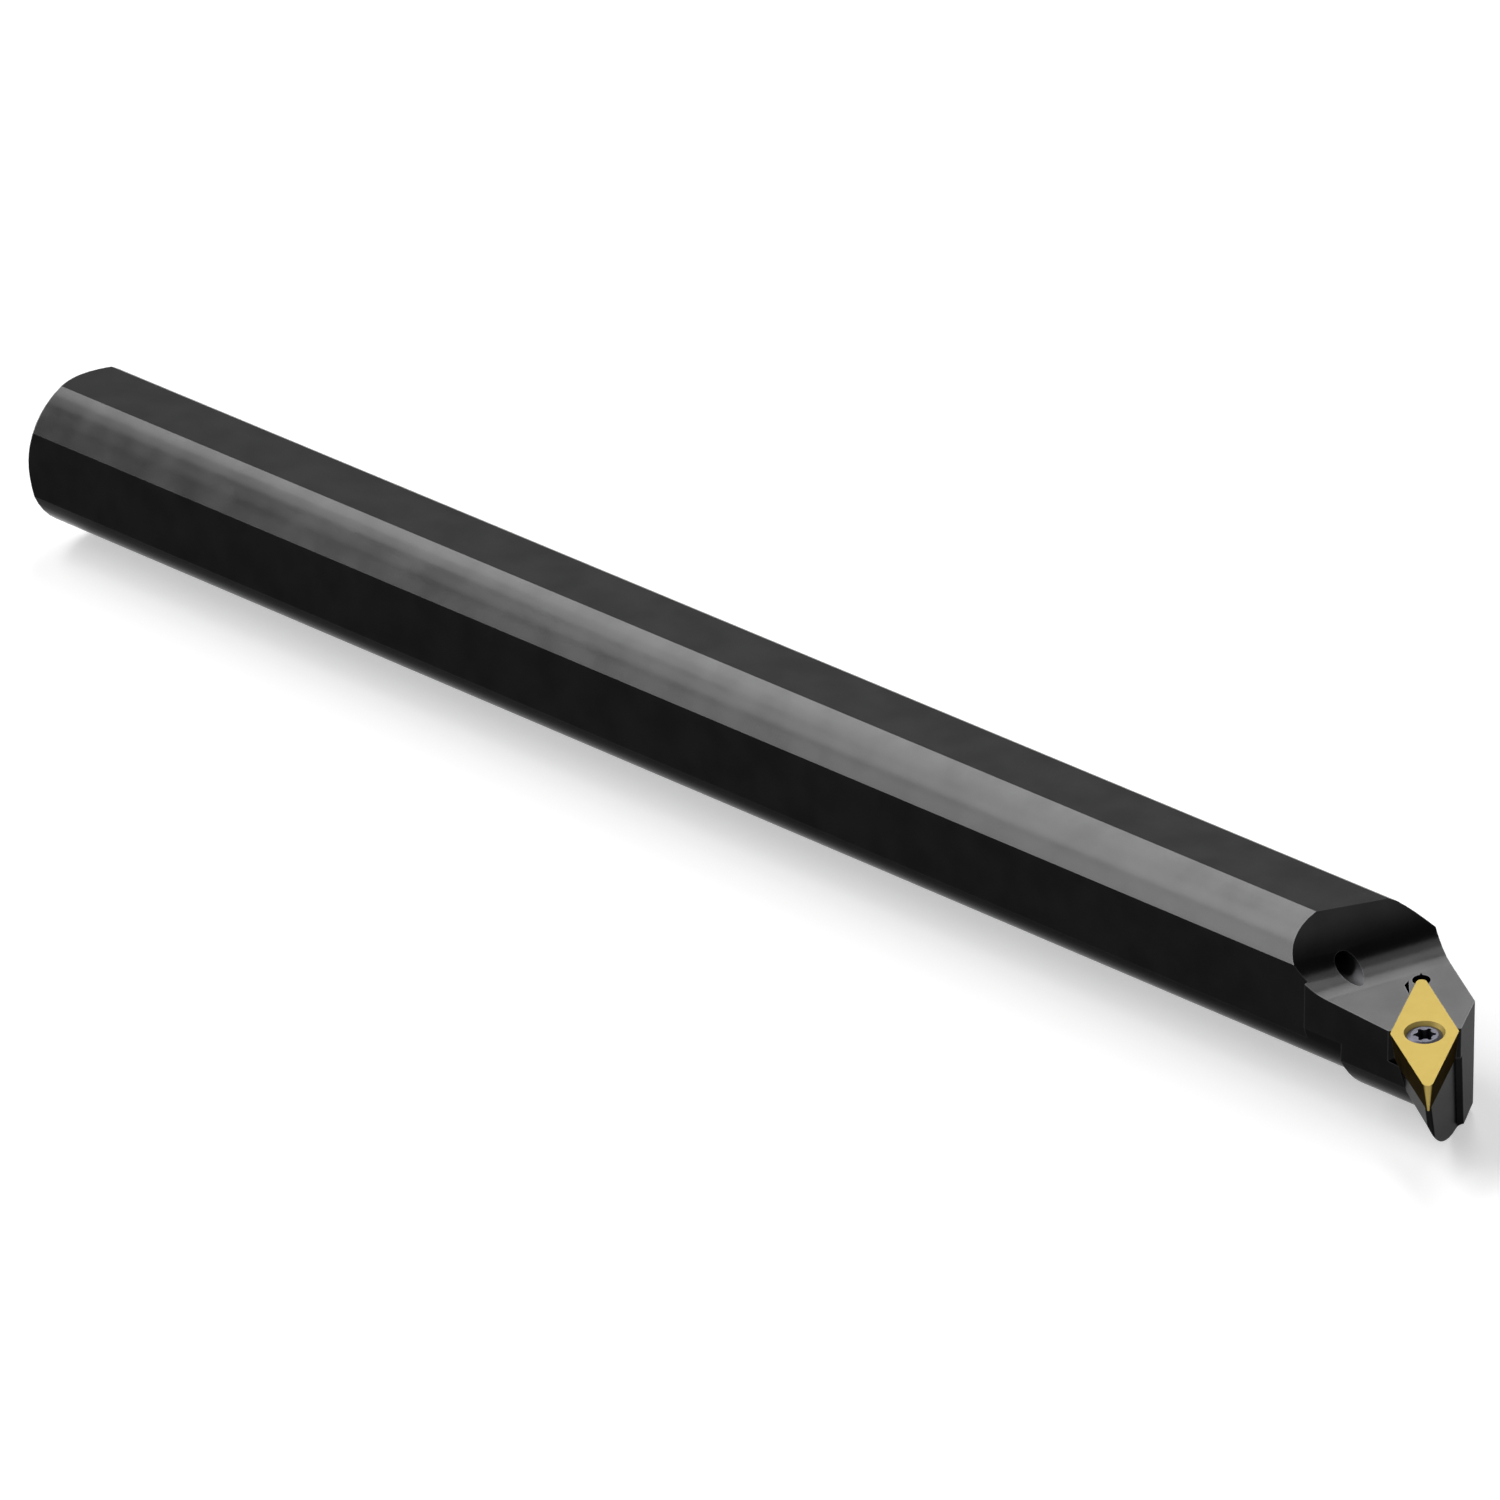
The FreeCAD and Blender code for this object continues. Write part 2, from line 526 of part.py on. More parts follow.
def make_screw():
    """The insert screw: a countersunk head with a six-lobe socket, and its shank."""
    body = document.addObject("PartDesign::Body", "insert_screw")
    body.setExpression("Placement", "seat_frame.Placement")
    profile = new_sketch(body, "screw_profile", "XZ_Plane")
    mouth = "(dims.countersink_diameter / 2 - dims.head_clearance)"
    slope = "tan(dims.countersink_angle / 2)"
    rim = "(dims.screw_head / 2)"
    shank = "(dims.screw_thread / 2)"
    end = "(-dims.crown_depth - dims.screw_length)"
    add_outline(profile, (("0", "-dims.crown_depth"),
                          ("dims.screw_crown / 2", "-dims.crown_depth"),
                          (rim, f"({rim} - {mouth}) / {slope}"),
                          (shank, f"({shank} - {mouth}) / {slope}"),
                          (shank, f"{end} + dims.screw_tip"),
                          (f"{shank} - dims.screw_tip", end),
                          ("0", end)))
    finish(turn(body, "Revolution", "screw_blank", profile, "V_Axis"), "adds")

    # Six lobes: a circle across the points, with a round waist between each two of them
    centre = "(dims.socket_flats / 2 + dims.socket_waist)"
    socket = new_sketch(body, "socket_plan", "XY_Plane", place(z="-dims.crown_depth"))
    points = measure("dims.socket_points / 2")
    waist_radius = measure("dims.socket_waist")
    distance = measure(centre)
    cosine = (points**2 + distance**2 - waist_radius**2) / (2 * points * distance)
    half_gap = math.acos(cosine)
    lobes = []
    waists = []
    for sixth in range(6):
        middle = sixth * math.pi / 3
        lobe_circle = Part.Circle(Vector(0, 0, 0), Vector(0, 0, 1), points)
        start = middle + half_gap
        end_angle = middle + math.pi / 3 - half_gap
        lobes.append(socket.addGeometry(Part.ArcOfCircle(lobe_circle, start, end_angle)))
        hub = Vector(math.cos(middle), math.sin(middle), 0) * distance
        corner = Vector(math.cos(middle + half_gap), math.sin(middle + half_gap), 0) * points
        half_arc = hub.negative().getAngle(corner - hub)
        facing = middle + math.pi
        waist_circle = Part.Circle(hub, Vector(0, 0, 1), waist_radius)
        waists.append(socket.addGeometry(
            Part.ArcOfCircle(waist_circle, facing - half_arc, facing + half_arc)))
    for sixth in range(6):
        # Each waist arc runs from its upper meeting point round to its lower one
        socket.addConstraint(Sketcher.Constraint("Coincident", lobes[sixth], 1, waists[sixth], 1))
        socket.addConstraint(
            Sketcher.Constraint("Coincident", lobes[sixth], 2, waists[(sixth + 1) % 6], 2))
        socket.addConstraint(Sketcher.Constraint("Coincident", lobes[sixth], 3, -1, 1))
        angle = f"{sixth} * 60"
        pin_point(socket, waists[sixth], 3, f"{centre} * cos({angle})", f"{centre} * sin({angle})")
        hold_radius(socket, lobes[sixth], "dims.socket_points / 2")
        hold_radius(socket, waists[sixth], "dims.socket_waist")
    finish(pocket(body, "socket", socket, "dims.socket_depth"), "cuts")
    return body


pieces = [make_bar(), make_insert(), make_screw()]
document.recompute()

for item in document.Objects:
    if "Invalid" in item.State or "Error" in item.State:
        raise RuntimeError(f"{item.Name} failed: {item.State}")
os.makedirs("parts", exist_ok=True)
for piece in pieces:
    shape = piece.Shape
    if shape.isNull() or not shape.isValid() or len(shape.Solids) != 1:
        raise RuntimeError(f"{piece.Label} is not one valid solid")
    print(f"{piece.Label}: {shape.Volume:.1f} mm3, {len(shape.Faces)} faces, {shape.BoundBox}")
for piece in pieces:
    piece.Shape.exportStep(f"parts/{piece.Label}.step")
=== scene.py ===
# %% [markdown]
# # A boring bar, dressed for its picture
#
# A boring bar is a long round tool that reaches into a hole on a lathe and widens it
# with a small insert at its end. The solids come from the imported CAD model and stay
# exactly where they are. This script gives them their finishes, adds the thread that
# the solids leave plain, and sets up the floor, the lamps and the camera.

import bpy
import numpy as np
from mathutils import Matrix, Vector


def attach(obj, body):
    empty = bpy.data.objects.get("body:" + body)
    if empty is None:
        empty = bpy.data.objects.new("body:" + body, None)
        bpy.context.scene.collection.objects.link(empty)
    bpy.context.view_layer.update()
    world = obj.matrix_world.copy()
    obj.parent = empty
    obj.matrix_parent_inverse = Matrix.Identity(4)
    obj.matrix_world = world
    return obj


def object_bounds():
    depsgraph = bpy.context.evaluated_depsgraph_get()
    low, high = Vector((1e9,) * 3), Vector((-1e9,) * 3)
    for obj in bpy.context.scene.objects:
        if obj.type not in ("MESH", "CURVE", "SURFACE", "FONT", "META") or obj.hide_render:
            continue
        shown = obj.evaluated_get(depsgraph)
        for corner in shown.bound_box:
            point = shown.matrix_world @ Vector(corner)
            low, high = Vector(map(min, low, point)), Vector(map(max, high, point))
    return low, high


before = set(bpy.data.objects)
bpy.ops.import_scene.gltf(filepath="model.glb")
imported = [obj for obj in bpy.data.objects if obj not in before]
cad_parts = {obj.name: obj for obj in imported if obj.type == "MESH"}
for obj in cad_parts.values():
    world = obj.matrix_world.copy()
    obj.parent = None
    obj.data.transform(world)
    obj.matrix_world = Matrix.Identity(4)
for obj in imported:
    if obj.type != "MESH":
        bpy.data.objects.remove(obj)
cad_low, cad_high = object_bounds()
MM = 0.001


def sides_in_mm(low, high):
    """The three sides of a box in millimetres, from its two corners in metres."""
    return [round((b - a) / MM, 2) for a, b in zip(low, high)]


print("nodes:", sorted(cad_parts))
print("CAD box in mm:", sides_in_mm(cad_low, cad_high))

# %% [markdown]
# ## Where the camera stands
#
# The picture looks down on the tool from its cutting end, 45 degrees round from the
# bar's axis and 25 degrees above the level. The far end of the bar is hardly smaller
# than the near one, so the camera stands far away and has a long lens. A camera is
# easiest to place by a point and a direction: the direction gives its turn, and the
# focal length and the sensor's width, both in millimetres, give its field of view.

# %% Camera at the picture's angle
CAMERA_SPOT = Vector((1.79325, -1.6454, 1.0804))
CAMERA_SIGHT = Vector((-0.6409, 0.6409, -0.4226))


def put_in_scene(name, data):
    """A new object that shows a mesh, a lamp or a camera, linked into the scene."""
    thing = bpy.data.objects.new(name, data)
    bpy.context.scene.collection.objects.link(thing)
    return thing


camera_data = bpy.data.cameras.new("picture_camera")
camera_data.lens = 408.5
camera_data.sensor_width = 36.0
camera_data.clip_start = 0.1
camera_data.clip_end = 60.0
camera = put_in_scene("picture_camera", camera_data)
camera.location = CAMERA_SPOT
camera.rotation_mode = "QUATERNION"
camera.rotation_quaternion = CAMERA_SIGHT.to_track_quat("-Z", "Y")
bpy.context.scene.camera = camera
print("camera stands", round(camera.location.length, 2), "m from the tail of the bar")

# %% [markdown]
# ## Colours and nodes
#
# A colour picked from a picture is an sRGB value, while a shader works with linear
# light, so one function turns a hex code into linear light. One more small function
# adds a node to a material together with its settings, its ramp and its links. With
# these, each finish below reads as a short list of what happens on the surface.

# %% Helpers for colours and nodes


def linear(hex_code):
    """Linear RGBA of an sRGB hex colour, by the sRGB curve's two pieces."""
    srgb = np.array([int(hex_code[i:i + 2], 16) for i in (1, 3, 5)]) / 255
    rgb = np.where(srgb <= 0.04045, srgb / 12.92, ((srgb + 0.055) / 1.055) ** 2.4)
    return (*map(float, rgb), 1.0)


def add(tree, kind, settings=None, stops=(), **links):
    """Add a node. Settings are attributes or inputs, and links are sockets or plain values.

    A link is named for its input, with _ for a space, or _0, _1 and so on for its number.
    Stops are (position, hex colour) pairs of a colour ramp.
    """
    node = tree.nodes.new(kind)
    for name, value in (settings or {}).items():
        if hasattr(node, name):
            setattr(node, name, value)
        else:
            node.inputs[name].default_value = value
    for name, source in links.items():
        key = int(name[1:]) if name[1:].isdigit() else name.replace("_", " ")
        if isinstance(source, bpy.types.NodeSocket):
            tree.links.new(source, node.inputs[key])
        else:
            node.inputs[key].default_value = source
    if stops:
        elements = node.color_ramp.elements
        while len(elements) < len(stops):
            elements.new(0.5)
        for element, (position, colour) in zip(elements, stops):
            element.position = position
            element.color = linear(colour)
    return node


def new_material(name):
    """An empty node material and its node tree."""
    material = bpy.data.materials.new(name)
    material.use_nodes = True
    material.node_tree.nodes.clear()
    return material, material.node_tree


print("white is", linear("#FFFFFF")[0], "and middle grey", round(linear("#808080")[0], 3))

# %% [markdown]
# ## The bar: blackened steel
#
# Bars like this are alloy steel, turned, milled and ground, then blackened in a hot
# salt bath. The bath grows a thin film of black iron oxide, sealed with oil. The cut
# marks show through it: fine rings around the turned parts and long strokes along the
# ground flats. They could be cut into the mesh, but they are only micrometres deep, so
# they are patterns that later raise the surface a little. The patterns read Object
# coordinates in metres, so each scale below follows from a real size.

# %% Cut marks, clouds and pores of the bar
WAVE_PERIOD = 0.314159
RING_SPACING = 0.6 * MM
blackened_steel, tree = new_material("blackened_steel")
place = add(tree, "ShaderNodeTexCoord").outputs["Object"]

# Strokes of the grinding wheel run along the bar: the noise is stretched 40 times in X.
stroke_place = add(tree, "ShaderNodeMapping", Vector=place, Scale=(45.0, 1800.0, 1800.0))
strokes = add(tree, "ShaderNodeTexNoise", {"Scale": 1.0, "Detail": 4.0, "Roughness": 0.6},
              Vector=stroke_place.outputs["Vector"])
# Rings left by turning: a feed of 0.25 mm would be too fine to show, so they are 0.6 mm.
# A wave of scale 1 repeats every WAVE_PERIOD metres.
rings = add(tree, "ShaderNodeTexWave",
            {"bands_direction": "X", "Scale": WAVE_PERIOD / RING_SPACING, "Distortion": 0.4,
             "Detail": 2.0, "Detail Scale": 3.0}, Vector=place)
# The bath leaves cloudy patches some 6 mm wide, and pores of about 0.15 mm.
clouds = add(tree, "ShaderNodeTexNoise", {"Scale": 160.0, "Detail": 3.0}, Vector=place)
pores = add(tree, "ShaderNodeTexNoise", {"Scale": 6500.0, "Detail": 2.0}, Vector=place)
print("marks of the bar need", len(tree.nodes), "nodes")

# %% [markdown]
# ## The black film
#
# The film swallows most light, so faces that look at nothing bright are almost black,
# and a face that mirrors a lamp shines softly. To the eye it is a very dark metal. Faces
# that look up are painted a shade lighter than the rest: painted light, for the lamps
# that fall on top, not a thinner film. The film is drawn thinner along sharp edges, where
# handling rubs it. A Bevel node rounds the normal near an edge, and where that differs
# from the face's own normal, there is an edge.

# %% Film, with painted light on top and wear along edges
EDGE_WIDTH = 0.25 * MM
rounded = add(tree, "ShaderNodeBevel", {"samples": 6, "Radius": EDGE_WIDTH})
facing = add(tree, "ShaderNodeNewGeometry")
likeness = add(tree, "ShaderNodeVectorMath", {"operation": "DOT_PRODUCT"},
               _0=rounded.outputs["Normal"], _1=facing.outputs["Normal"])
edge = add(tree, "ShaderNodeMapRange", {"From Min": 0.999, "From Max": 0.93},
           Value=likeness.outputs["Value"])
# Painted light: faces that look up get a lighter film colour, for the light that falls on top.
height_of_normal = add(tree, "ShaderNodeSeparateXYZ", Vector=facing.outputs["Normal"])
painted_top_light_mask = add(tree, "ShaderNodeMapRange", {"From Min": 0.1, "From Max": 0.35},
               Value=height_of_normal.outputs["Z"])

full_film = add(tree, "ShaderNodeValToRGB", Fac=clouds.outputs["Fac"],
                stops=((0.35, "#141414"), (0.65, "#181818")))
# This lighter film is painted light on the up-facing faces.
painted_top_light_film = add(tree, "ShaderNodeValToRGB", Fac=clouds.outputs["Fac"],
                stops=((0.35, "#272727"), (0.65, "#2C2C2C")))
film = add(tree, "ShaderNodeMix", {"data_type": "RGBA"}, Factor=painted_top_light_mask.outputs["Result"],
           A=full_film.outputs["Color"], B=painted_top_light_film.outputs["Color"])
worn = add(tree, "ShaderNodeMix", {"data_type": "RGBA"}, Factor=edge.outputs["Result"],
           A=film.outputs["Result"], B=linear("#363638"))
print("film and edges bring that to", len(tree.nodes), "nodes")

# %% [markdown]
# ## The wall of the coolant hole
#
# A slanting hole brings the coolant from inside the bar to the hollow behind the
# insert. Its wall is drawn rougher, and its colour is a lighter grey: a painted sheen, in a
# hole that the lamps barely reach. A mask finds the wall, so the bar can keep one material: a
# point is on the wall when it lies near the hole's axis, between the hole's two ends.

# %% Painted sheen on the wall of the coolant hole
JET_MOUTH = Vector((276.2, -5.07, 4.6)) * MM
JET_TURN, JET_RISE = np.radians(19.7), np.radians(4.5)
JET_AXIS = Vector((np.cos(JET_RISE) * np.cos(JET_TURN), -np.cos(JET_RISE) * np.sin(JET_TURN),
                   np.sin(JET_RISE)))
# The hole's radius is 1.75 mm. The mask reaches from 20 mm inside its mouth to 6 mm past it.
JET_EDGE, JET_MIDDLE, JET_HALF = 1.76 * MM, -7 * MM, 13 * MM
from_mouth = add(tree, "ShaderNodeVectorMath", {"operation": "SUBTRACT"},
                 _0=place, _1=JET_MOUTH).outputs["Vector"]
along = add(tree, "ShaderNodeVectorMath", {"operation": "DOT_PRODUCT"},
            _0=from_mouth, _1=JET_AXIS)
aside = add(tree, "ShaderNodeVectorMath", {"operation": "CROSS_PRODUCT"},
            _0=from_mouth, _1=JET_AXIS)
radius = add(tree, "ShaderNodeVectorMath", {"operation": "LENGTH"}, _0=aside.outputs["Vector"])
near = add(tree, "ShaderNodeMath", {"operation": "LESS_THAN"},
           _0=radius.outputs["Value"], _1=JET_EDGE)
between = add(tree, "ShaderNodeMath", {"operation": "COMPARE"},
              _0=along.outputs["Value"], _1=JET_MIDDLE, _2=JET_HALF)
hole_wall_painted_sheen = add(tree, "ShaderNodeMath", {"operation": "MULTIPLY"},
              _0=near.outputs["Value"], _1=between.outputs["Value"])
# The light grey of the hole's wall is a painted sheen.
steel = add(tree, "ShaderNodeMix", {"data_type": "RGBA"}, Factor=hole_wall_painted_sheen.outputs["Value"],
            A=worn.outputs["Result"], B=linear("#606062"))
print("coolant hole points", [round(part, 3) for part in JET_AXIS])

# %% [markdown]
# ## One shader for the bar
#
# Colour, gloss and relief now meet in one shader. It is metallic, because dark polished
# steel mirrors its surroundings in its own dark tone. A grey specular tint keeps faces
# that are seen at a grazing angle from turning white. The relief adds up strokes, a
# quarter as much rings and half as much pores, and a height of 1 stands for 0.02 mm.

# %% Shader of the blackened steel
gloss = add(tree, "ShaderNodeMapRange", {"To Min": 0.16, "To Max": 0.24},
            Value=clouds.outputs["Fac"])
dull = add(tree, "ShaderNodeMath", {"operation": "MULTIPLY_ADD"},
           _0=hole_wall_painted_sheen.outputs["Value"], _1=0.3, _2=gloss.outputs["Result"])
cut_marks = add(tree, "ShaderNodeMath", {"operation": "MULTIPLY_ADD"},
                _0=rings.outputs["Fac"], _1=0.25, _2=strokes.outputs["Fac"])
relief = add(tree, "ShaderNodeMath", {"operation": "MULTIPLY_ADD"},
             _0=pores.outputs["Fac"], _1=0.5, _2=cut_marks.outputs["Value"])
bump = add(tree, "ShaderNodeBump", {"Strength": 0.12, "Distance": 0.02 * MM},
           Height=relief.outputs["Value"])
shader = add(tree, "ShaderNodeBsdfPrincipled",
             {"Metallic": 1.0, "Specular Tint": linear("#BCBCBC")},
             Base_Color=steel.outputs["Result"], Roughness=dull.outputs["Value"],
             Normal=bump.outputs["Normal"])
add(tree, "ShaderNodeOutputMaterial", Surface=shader.outputs["BSDF"])
print("blackened steel has", len(tree.nodes), "nodes")

# %% [markdown]
# ## The insert: carbide under a gold-coloured nitride coat
#
# Inserts like this are pressed from carbide powder, sintered and coated from the gas
# phase with a few thousandths of a millimetre of titanium nitride, which gives the gold
# colour. The top face and the rounded corners take that pale gold, and the flanks are
# painted dark brown: painted shade, for flanks that face away from the lamps. The insert is one
# solid, so one material with two masks is simpler than a material for each group of faces: the
# masks tell how far a face looks the way of the insert's top, and how far it looks along the
# insert.

# %% Pale gold of the coat, with painted shade on the flanks
INSERT_LONG = Vector((0.7011, -0.7011, -0.1300))
INSERT_ACROSS = Vector((0.7103, 0.7027, 0.0410))
INSERT_UP = INSERT_LONG.cross(INSERT_ACROSS).normalized()
nitride_coat, tree = new_material("titanium_nitride_coat")
place = add(tree, "ShaderNodeTexCoord").outputs["Object"]
mottle = add(tree, "ShaderNodeTexNoise", {"Scale": 420.0, "Detail": 3.0}, Vector=place)
top_gold = add(tree, "ShaderNodeValToRGB", Fac=mottle.outputs["Fac"],
               stops=((0.3, "#AB9757"), (0.7, "#B39F5D")))
# The flanks' dark brown is painted shade on the gold coat.
painted_shade_flanks = add(tree, "ShaderNodeValToRGB", Fac=mottle.outputs["Fac"],
                 stops=((0.3, "#241F14"), (0.7, "#2E2718")))

facing = add(tree, "ShaderNodeNewGeometry")
levelness = add(tree, "ShaderNodeVectorMath", {"operation": "DOT_PRODUCT"},
                _0=facing.outputs["Normal"], _1=INSERT_UP)
on_top = add(tree, "ShaderNodeMapRange", {"From Min": 0.1, "From Max": 0.6},
             Value=levelness.outputs["Value"])
endness = add(tree, "ShaderNodeVectorMath", {"operation": "DOT_PRODUCT"},
              _0=facing.outputs["Normal"], _1=INSERT_LONG)
either_end = add(tree, "ShaderNodeMath", {"operation": "ABSOLUTE"},
                 _0=endness.outputs["Value"])
on_corner = add(tree, "ShaderNodeMapRange", {"From Min": 0.5, "From Max": 0.9},
                Value=either_end.outputs["Value"])
pale = add(tree, "ShaderNodeMath", {"operation": "MAXIMUM"},
           _0=on_top.outputs["Result"], _1=on_corner.outputs["Result"])
coat = add(tree, "ShaderNodeMix", {"data_type": "RGBA"}, Factor=pale.outputs["Value"],
           A=painted_shade_flanks.outputs["Color"], B=top_gold.outputs["Color"])
print("colours of the coat need", len(tree.nodes), "nodes")

# %% [markdown]
# ## Satin of the coat
#
# The coat is a true metal to the eye, so the shader is metallic, and the powder's grain
# under it makes it satin. The grain is only a few micrometres wide, so it is drawn at
# 0.06 mm to show at all.

# %% Shader of the nitride coat
grain = add(tree, "ShaderNodeTexNoise", {"Scale": 16000.0, "Detail": 2.0}, Vector=place)
satin = add(tree, "ShaderNodeMapRange", {"To Min": 0.55, "To Max": 0.65},
            Value=mottle.outputs["Fac"])
bump = add(tree, "ShaderNodeBump", {"Strength": 0.12, "Distance": 0.01 * MM},
           Height=grain.outputs["Fac"])
shader = add(tree, "ShaderNodeBsdfPrincipled",
             {"Metallic": 1.0, "Specular Tint": linear("#A09A88")},
             Base_Color=coat.outputs["Result"], Roughness=satin.outputs["Result"],
             Normal=bump.outputs["Normal"])
add(tree, "ShaderNodeOutputMaterial", Surface=shader.outputs["BSDF"])
print("nitride coat has", len(tree.nodes), "nodes")

# %% [markdown]
# ## The screw: bright hardened steel
#
# Such a screw is turned and then its six-lobe socket is pressed in. It has no coat: it
# is bright, slightly blue-grey steel with turning rings around its own axis, which
# leans with the insert. A Mapping node brings the pattern into the screw's own frame,
# so the rings run around its head, 1.26 mm apart.

# %% Bright steel
SEAT_CENTRE = Vector((0.2950004, -0.0089904, 0.0018172))
to_seat = Matrix((INSERT_LONG, INSERT_ACROSS, INSERT_UP))
bright_steel, tree = new_material("bright_steel")
place = add(tree, "ShaderNodeTexCoord").outputs["Object"]
in_seat = add(tree, "ShaderNodeMapping", Vector=place,
              Location=tuple(-(to_seat @ SEAT_CENTRE)), Rotation=tuple(to_seat.to_euler()))
rings = add(tree, "ShaderNodeTexWave",
            {"wave_type": "RINGS", "rings_direction": "Z", "Scale": 250.0, "Distortion": 0.3},
            Vector=in_seat.outputs["Vector"])
scuffs = add(tree, "ShaderNodeTexNoise", {"Scale": 2500.0, "Detail": 3.0}, Vector=place)
tone = add(tree, "ShaderNodeValToRGB", Fac=scuffs.outputs["Fac"],
           stops=((0.3, "#4C4C55"), (0.7, "#5A5A62")))
polish = add(tree, "ShaderNodeMapRange", {"To Min": 0.45, "To Max": 0.52},
             Value=scuffs.outputs["Fac"])
bump = add(tree, "ShaderNodeBump", {"Strength": 0.15, "Distance": 0.01 * MM},
           Height=rings.outputs["Fac"])
shader = add(tree, "ShaderNodeBsdfPrincipled", {"Metallic": 1.0},
             Base_Color=tone.outputs["Color"], Roughness=polish.outputs["Result"],
             Normal=bump.outputs["Normal"])
add(tree, "ShaderNodeOutputMaterial", Surface=shader.outputs["BSDF"])
print("bright steel has", len(tree.nodes), "nodes")

# %% [markdown]
# ## Finishes onto the solids
#
# The CAD solids already have their true form, so they stay and only take a finish.
# Assigning a material to the mesh's first slot is enough for that.

# %% Give each solid its finish
FINISHES = {
    "bar_body": blackened_steel,
    "cutting_insert": nitride_coat,
    "insert_screw": bright_steel,
}
for node_name, material in FINISHES.items():
    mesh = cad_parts[node_name].data
    mesh.materials.clear()
    mesh.materials.append(material)
    print(node_name, "is", material.name, "on", len(mesh.polygons), "faces")

# %% [markdown]
# ## The thread in the coolant port
#
# The tail face is out of sight in the picture. A bar with a coolant hole usually has a
# tapped port there, and the solid has the plain hole that the tap starts from. A thread
# is a ridge that winds along the hole, so its radius is a function of two things, the
# place along the axis and the angle round it: the height of a triangle wave of
# (distance / pitch - angle / full turn). Modelling it as one surface on a grid keeps it
# light, where a boolean cut of the same thread would be slow and fragile.

# %% Shape of the thread, in millimetres
PORT_RADIUS = 11.11 / 2
THREAD_PITCH = 25.4 / 18
THREAD_START, THREAD_END = 1.2, 13.6
RIDGE = 0.55
WALL_GAP, LEAST_WALL = 0.01, 0.02
ALONG_STEPS, ROUND_STEPS = 150, 72


def thread_lining():
    """Closed lining of the port: a threaded inner wall joined to a plain outer wall.

    The outer radius is the port's less a small gap. Inner radius = outer radius - least
    wall - ridge * triangle(x / pitch - angle / turn) * fade, where fade goes to nothing
    over the last pitch at both ends. The two walls share their end loops. Sizes are in
    millimetres, and the points that it returns are in metres.
    """
    x = np.linspace(THREAD_START, THREAD_END, ALONG_STEPS)
    angle = np.linspace(0, 2 * np.pi, ROUND_STEPS, endpoint=False)
    x_grid, angle_grid = np.meshgrid(x, angle, indexing="ij")
    phase = (x_grid / THREAD_PITCH - angle_grid / (2 * np.pi)) % 1.0
    wave = 1 - np.abs(2 * phase - 1)
    fade = np.clip(np.minimum(x_grid - THREAD_START, THREAD_END - x_grid) / THREAD_PITCH, 0, 1)
    outer_radius = PORT_RADIUS - WALL_GAP
    inner = outer_radius - LEAST_WALL - RIDGE * wave * fade
    both_ends = x_grid[[-1, 0]]
    loops_x = np.concatenate([x_grid, both_ends])
    loops_r = np.concatenate([inner, np.full_like(both_ends, outer_radius)])
    loops_angle = np.concatenate([angle_grid, angle_grid[:2]])
    points = np.stack([loops_x, loops_r * np.cos(loops_angle), loops_r * np.sin(loops_angle)],
                      axis=-1)
    index = np.arange(loops_x.size).reshape(loops_x.shape)
    ahead = np.roll(index, -1, axis=0)
    around = np.roll(index, -1, axis=1)
    corner = np.roll(ahead, -1, axis=1)
    faces = np.stack([index, ahead, corner, around], axis=-1).reshape(-1, 4)
    return points.reshape(-1, 3) * MM, faces


thread_points, thread_faces = thread_lining()
print("thread has", len(thread_faces), "faces over",
      round((THREAD_END - THREAD_START) / THREAD_PITCH, 1), "turns")

# %% [markdown]
# ## The thread as a piece of the bar
#
# The lining lies just inside the wall of the plain hole and takes the bar's own finish,
# so the two look like one piece of steel. It moves with the bar, so it rides on the
# bar's body.

# %% Thread of the coolant port
thread_mesh = bpy.data.meshes.new("coolant_port_thread")
thread_mesh.from_pydata(thread_points.tolist(), [], thread_faces.tolist())
thread_mesh.materials.append(blackened_steel)
thread_mesh.shade_smooth()
port_thread = put_in_scene("coolant_port_thread", thread_mesh)
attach(port_thread, "root")
print(port_thread.name, "is", blackened_steel.name)

# %% [markdown]
# ## Floor
#
# The floor is pale card that takes the shadow, with a white glow on top that only the
# camera and reflections see, so it looks white without throwing extra light on the
# tool. A Light Path node tells what kind of ray asks for the colour.

# %% White card of the floor
FLOOR_GLOW = 0.5


def shown_or_mirrored(tree):
    """A socket that is 1 for rays from the camera, off a gloss or through glass, else 0."""
    rays = add(tree, "ShaderNodeLightPath")
    shown = rays.outputs["Is Camera Ray"]
    for kind in ("Is Glossy Ray", "Is Transmission Ray"):
        either = add(tree, "ShaderNodeMath", {"operation": "MAXIMUM"},
                     _0=shown, _1=rays.outputs[kind])
        shown = either.outputs["Value"]
    return shown


floor_material, tree = new_material("white_floor")
paper = add(tree, "ShaderNodeTexNoise", {"Scale": 3.0, "Detail": 2.0},
            Vector=add(tree, "ShaderNodeTexCoord").outputs["Object"])
card_tone = add(tree, "ShaderNodeValToRGB", Fac=paper.outputs["Fac"],
                stops=((0.0, "#D2D2D2"), (1.0, "#D6D6D6")))
card = add(tree, "ShaderNodeBsdfDiffuse", Color=card_tone.outputs["Color"])
lift = add(tree, "ShaderNodeMapRange", {"To Min": 0.0, "To Max": FLOOR_GLOW},
           Value=shown_or_mirrored(tree))
glow = add(tree, "ShaderNodeEmission", {"Color": linear("#FFFFFF")},
           Strength=lift.outputs["Result"])
both = add(tree, "ShaderNodeAddShader", _0=card.outputs["BSDF"], _1=glow.outputs["Emission"])
add(tree, "ShaderNodeOutputMaterial", Surface=both.outputs["Shader"])
print("white floor has", len(tree.nodes), "nodes")

# %% [markdown]
# ## Where the floor lies
#
# The floor is level with the lowest point of the bar, the round underside of its head.
# It is one large square, because its edge has to stay out of every view.

